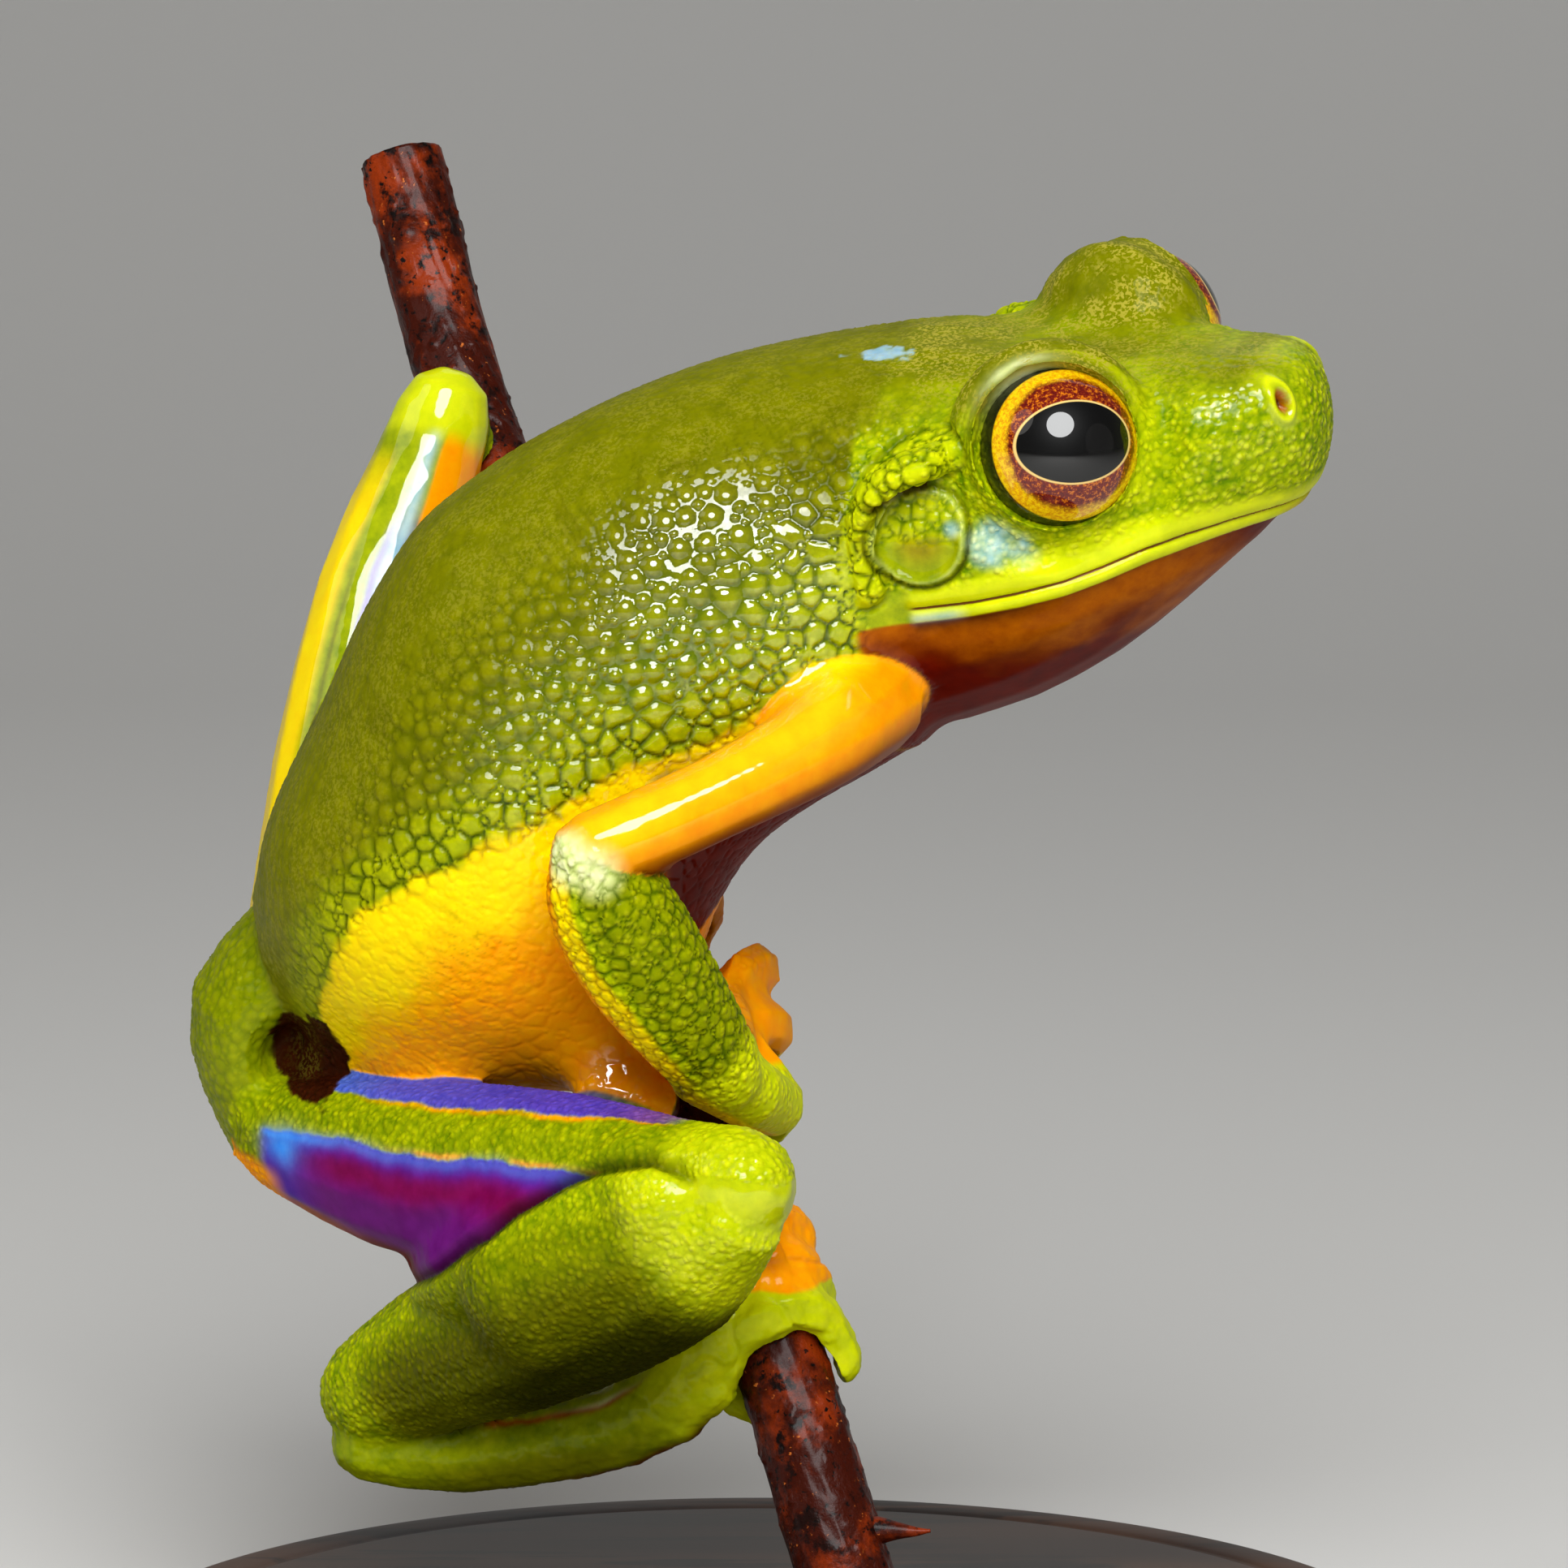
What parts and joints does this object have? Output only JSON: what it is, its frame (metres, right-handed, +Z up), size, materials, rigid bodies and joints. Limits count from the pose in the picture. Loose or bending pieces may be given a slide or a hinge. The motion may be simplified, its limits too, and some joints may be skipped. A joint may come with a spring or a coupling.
{
  "type": "green tree frog",
  "caption": "Life-size still model of a slender green tree frog gripping a leaning cut twig, raised on a round flat display base.",
  "frame": {"origin": "middle of the round base's underside", "axes": "+Z up, +X the way the snout points, +Y to the far side of the frog as pictured"},
  "size_m": [0.042, 0.042, 0.0485],
  "materials": {
    "green_skin": "moist granular green skin",
    "back_skin": "moist granular olive green skin, orange below",
    "orange_skin": "smooth moist orange skin",
    "thigh_skin": "moist skin, green stripe over violet and red",
    "eye": "clear wet cornea over a gold and red-brown iris",
    "bark": "wet dark red-brown bark",
    "stand_wood": "dark satin hardwood",
    "stand_steel": "satin steel"
  },
  "bodies": {
    "root": {"head": "green_skin", "torso": "back_skin", "eye_left": "eye", "eye_right": "eye", "upper_arm_left": "orange_skin", "upper_arm_right": "orange_skin", "forearm_left": "green_skin", "forearm_right": "green_skin", "hand_left": "orange_skin", "hand_right": "orange_skin", "thigh_left": "thigh_skin", "thigh_right": "thigh_skin", "shank_left": "green_skin", "shank_right": "green_skin", "foot_left": "green_skin", "foot_right": "green_skin", "perch_twig": "bark", "stand_base": "stand_wood", "stand_rod": "stand_steel"}
  },
  "joints": []
}
